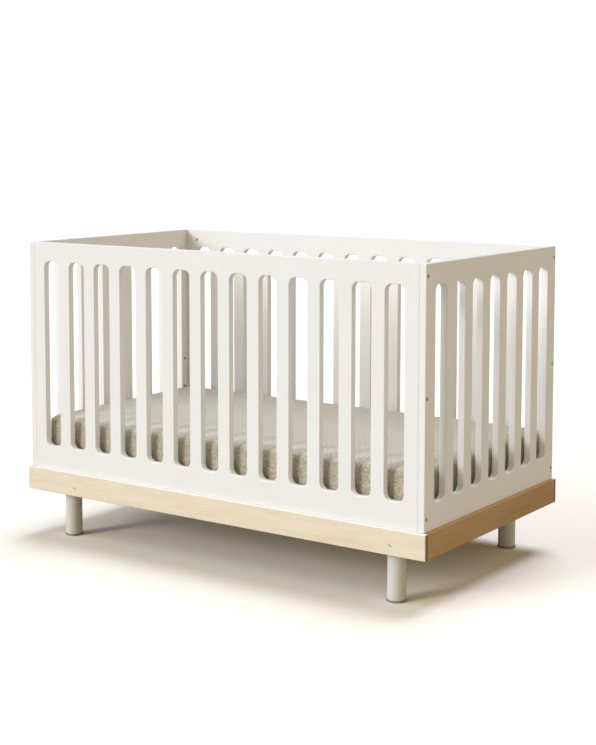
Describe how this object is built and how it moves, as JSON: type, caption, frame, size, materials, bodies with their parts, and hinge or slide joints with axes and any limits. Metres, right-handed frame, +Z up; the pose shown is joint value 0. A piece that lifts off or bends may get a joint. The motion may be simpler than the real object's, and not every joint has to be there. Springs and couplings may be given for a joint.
{
  "type": "baby crib",
  "caption": "Four slotted painted panels on a birch base frame with round legs, holding a slatted mattress support and a mattress.",
  "frame": {"origin": "on the floor, under the middle of the crib", "axes": "+X along the length, +Y from front to back, +Z up"},
  "size_m": [1.387, 0.768, 0.892],
  "materials": {
    "white_paint": "satin white paint on flat board",
    "leg_paint": "satin off-white paint on turned wood",
    "birch": "clear matt lacquer on birch",
    "zinc_steel": "zinc plated",
    "brass": "plain",
    "glide_plastic": "moulded",
    "foam": "open-cell foam",
    "cover_cloth": "knitted cover",
    "sheet_cloth": "melange woven cotton"
  },
  "bodies": {
    "crib": {"front_panel": "white_paint", "back_panel": "white_paint", "left_end_panel": "white_paint", "right_end_panel": "white_paint", "corner_bolts": "zinc_steel", "middle_bolts": "zinc_steel", "barrel_nuts": "zinc_steel", "corner_block_screws": "zinc_steel", "offset_straps": "zinc_steel", "strap_screws": "zinc_steel", "leg_hanger_bolts": "zinc_steel", "leg_tee_nuts": "zinc_steel", "support_bolts": "zinc_steel", "middle_inserts": "brass", "support_inserts": "brass", "base_front_board": "birch", "base_back_board": "birch", "base_left_board": "birch", "base_right_board": "birch", "leg_rail_left": "birch", "leg_rail_right": "birch", "leg_rail_dowels": "birch", "locating_dowels": "birch", "corner_block_front_left": "birch", "leg_front_left": "leg_paint", "glide_front_left": "glide_plastic", "corner_block_front_right": "birch", "leg_front_right": "leg_paint", "glide_front_right": "glide_plastic", "corner_block_back_left": "birch", "leg_back_left": "leg_paint", "glide_back_left": "glide_plastic", "corner_block_back_right": "birch", "leg_back_right": "leg_paint", "glide_back_right": "glide_plastic"},
    "support": {"support_front_rail": "birch", "support_back_rail": "birch", "support_left_rail": "birch", "support_right_rail": "birch", "support_centre_rail": "birch", "support_frame_screws": "zinc_steel", "slat_screws": "zinc_steel", "hanger_screws": "zinc_steel", "hanger_front_left": "zinc_steel", "hanger_front_right": "zinc_steel", "hanger_back_left": "zinc_steel", "hanger_back_right": "zinc_steel", "slat_1": "birch", "slat_2": "birch", "slat_3": "birch", "slat_4": "birch", "slat_5": "birch", "slat_6": "birch", "slat_7": "birch", "slat_8": "birch", "slat_9": "birch", "slat_10": "birch"},
    "mattress": {"mattress_core": "foam", "mattress_cover": "cover_cloth", "fitted_sheet": "sheet_cloth"}
  },
  "joints": [
    {"name": "support_height", "type": "slide", "parent": "crib", "child": "support", "axis": [0, 0, 1], "range_m": [0, 0.19]},
    {"name": "mattress_lift", "type": "slide", "parent": "support", "child": "mattress", "axis": [0, 0, 1], "range_m": [0, 0.7]}
  ]
}
